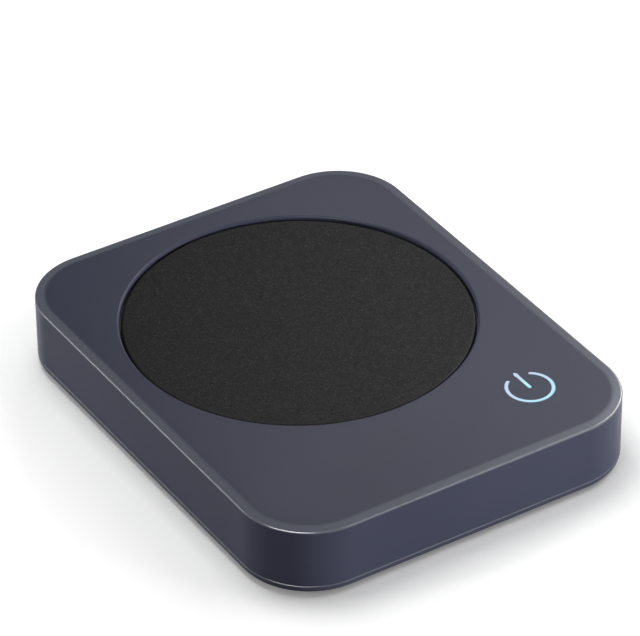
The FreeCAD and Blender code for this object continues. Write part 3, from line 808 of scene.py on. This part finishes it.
stage = {
    "floorSize": 6.0,
    "floorSeen": (1.0, 1.0, 0.995, 1),          # tone for the camera and for reflections
    "floorFelt": (0.40, 0.40, 0.40, 1),         # tone for the light that it throws back
    # the glow rises from floorLift near the object to floorLift plus farLift far off, so near the object
    # it paints shade
    "floorLift": 0.16,
    "farLift": 0.60,
    "liftSpan": (0.08, 0.70),
    "liftCurve": 0.5,
    "worldLight": 0.30,
    # direction from the object, distance, size, brightness of a white surface that faces the lamp,
    # and whether it only shines on surfaces (True) or only lights them (False)
    "lamps": {
        "topLamp": ((-0.06, 0.28, 0.92), 0.70, 0.38, 0.50, False),
        "nearLamp": ((0.50, -0.35, 0.79), 0.30, 0.15, 0.19, False),
        "rightLamp": ((0.66, -0.74, 0.08), 1.00, 0.14, 1.75, False),
        "leftLamp": ((-0.54, 0.84, 0.10), 1.10, 0.20, 1.15, False),
        "frontLamp": ((-0.60, -0.78, 0.15), 1.00, 0.30, 0.37, False),
        "backSheen": ((0.47, 0.56, 0.62), 0.60, 0.24, 0.33, True),
        "rightSheen": ((0.75, 0.25, 0.60), 0.60, 0.30, 1.30, True),
        "cornerKicker": ((-0.54, -0.28, 0.79), 0.90, 0.60, 3.60, True),
        "frontKicker": ((0.43, -0.58, 0.69), 0.90, 0.36, 0.30, True),
        "leftKicker": ((-0.58, 0.69, 0.43), 0.90, 0.30, 0.40, True),
    },
    "offFloor": ("rightLamp", "leftLamp", "frontLamp"),     # low lamps that leave the floor alone
}


def makeFloor():
    deselectAll()
    bpy.ops.mesh.primitive_plane_add(size=stage["floorSize"], location=(0, 0, 0))
    floor = settle(bpy.context.object, "floor")
    finish = Finish("studioFloor")
    path = finish.add("ShaderNodeLightPath").outputs
    seen = finish.math("MAXIMUM", path["Is Camera Ray"], path["Is Glossy Ray"])
    seen = finish.math("MAXIMUM", seen, path["Is Transmission Ray"])
    finish.link(finish.blendColours(seen, stage["floorFelt"], stage["floorSeen"]), "Base Color")
    finish.adjust({"Roughness": 1.0, "Specular IOR Level": 0.0, "Emission Color": white})
    # the floor glows a little where it is seen, more with distance, so that it stays white far off;
    # the weaker glow near the object darkens the floor round it as painted shade
    away = finish.vector("LENGTH", finish.place)
    spread = finish.math("POWER", finish.span(away, *stage["liftSpan"], ease="LINEAR"), stage["liftCurve"])
    lift = finish.math("MULTIPLY_ADD", spread, stage["farLift"], stage["floorLift"])
    finish.link(finish.math("MULTIPLY", seen, lift), "Emission Strength")
    floor.data.materials.append(finish.material)
    return floor


def makeWorld():
    # the background is white for the camera and weaker as a light
    world = bpy.data.worlds.new("studio")
    bpy.context.scene.world = world
    world.use_nodes = True
    nodes = world.node_tree.nodes
    links = world.node_tree.links
    light = nodes["Background"]
    light.inputs["Color"].default_value = white
    path = nodes.new("ShaderNodeLightPath").outputs
    strength = nodes.new("ShaderNodeMapRange")
    strength.inputs["To Min"].default_value = stage["worldLight"]
    strength.inputs["To Max"].default_value = 1.0
    links.new(path["Is Camera Ray"], strength.inputs["Value"])
    links.new(strength.outputs["Result"], light.inputs["Strength"])


def makeLamps(floor):
    allButFloor = bpy.data.collections.new("allButFloor")
    allButFloor.objects.link(floor)
    allButFloor.collection_objects[0].light_linking.link_state = "EXCLUDE"
    for name, (direction, distance, size, brightness, shineOnly) in stage["lamps"].items():
        place = Vector(direction).normalized() * distance
        deselectAll()
        bpy.ops.object.light_add(type="AREA", location=place)
        lamp = bpy.context.object
        lamp.name = name
        lamp.data.size = size
        lamp.data.energy = brightness * (math.pi * distance) ** 2
        lamp.visible_diffuse = not shineOnly
        lamp.visible_glossy = shineOnly
        if name in stage["offFloor"]:
            lamp.light_linking.receiver_collection = allButFloor
        lamp.rotation_euler = (-place).to_track_quat("-Z", "Y").to_euler()


# fitted so that the body's outlines fall where the photograph has them
view = {
    "azimuth": -32.276,
    "elevation": 35.461,
    "roll": -0.4757,
    "distance": 1.15855,
    "target": (18.98 * mm, 31.88 * mm, 1.0 * mm),
    "focalPixels": 4337.7,
    "imageWidth": 640,
    "sensorWidth": 36.0,
    "clipStart": 0.05,
    "clipEnd": 20,
}


def makeCamera():
    azimuth = math.radians(view["azimuth"])
    elevation = math.radians(view["elevation"])
    roll = math.radians(view["roll"])
    back = Vector((math.sin(azimuth) * math.cos(elevation), -math.cos(azimuth) * math.cos(elevation),
                   math.sin(elevation)))
    level = Vector((math.cos(azimuth), math.sin(azimuth), 0))
    upright = back.cross(level)
    right = math.cos(roll) * level + math.sin(roll) * upright
    top = -math.sin(roll) * level + math.cos(roll) * upright
    deselectAll()
    bpy.ops.object.camera_add()
    camera = bpy.context.object
    camera.name = "photoCamera"
    camera.data.sensor_fit = "HORIZONTAL"
    camera.data.sensor_width = view["sensorWidth"]
    camera.data.lens = view["focalPixels"] * view["sensorWidth"] / view["imageWidth"]
    camera.data.clip_start = view["clipStart"]
    camera.data.clip_end = view["clipEnd"]
    turn = Matrix((right, top, back)).transposed().to_4x4()
    camera.matrix_world = Matrix.Translation(Vector(view["target"]) + back * view["distance"]) @ turn
    bpy.context.scene.camera = camera
    print("camera")


# Put together

def dress(piece, material, slotName, *nodes):
    # gives a new piece its finish and body and lets it stand for nodes of the frame
    piece.data.materials.clear()
    piece.data.materials.append(material)
    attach(piece, "root")
    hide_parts(*nodes)


def paintNode(name, material):
    for materialSlot in frame["nodes"][name].material_slots:
        materialSlot.material = material


makeCamera()
floor = makeFloor()
makeWorld()
makeLamps(floor)
print("stage and lamps")

inner = {slot: plainFinish(slot, *values) for slot, values in innerFinishes.items()}
for entry in frame["record"]["subparts"]:
    if entry["material_slot"] in inner:
        paintNode(entry["node"], inner[entry["material_slot"]])
paintNode("symbol_lens", symbolFinish())
print("finishes for the pieces inside")

dress(makeHousing(), housingFinish(), "housing", "top_housing")
dress(makeCover(), coverFinish(), "cover", "bottom_cover")
dress(makeFeet(), rubberFinish(), "foot_rubber", "rubber_feet")
dress(makePlate(), plateFinish(), "plate_coating", "heating_plate")
dress(makeSocket(), inner["socket_plastic"], "socket_plastic", "dc_socket")

bpy.context.scene.view_settings.view_transform = "Standard"
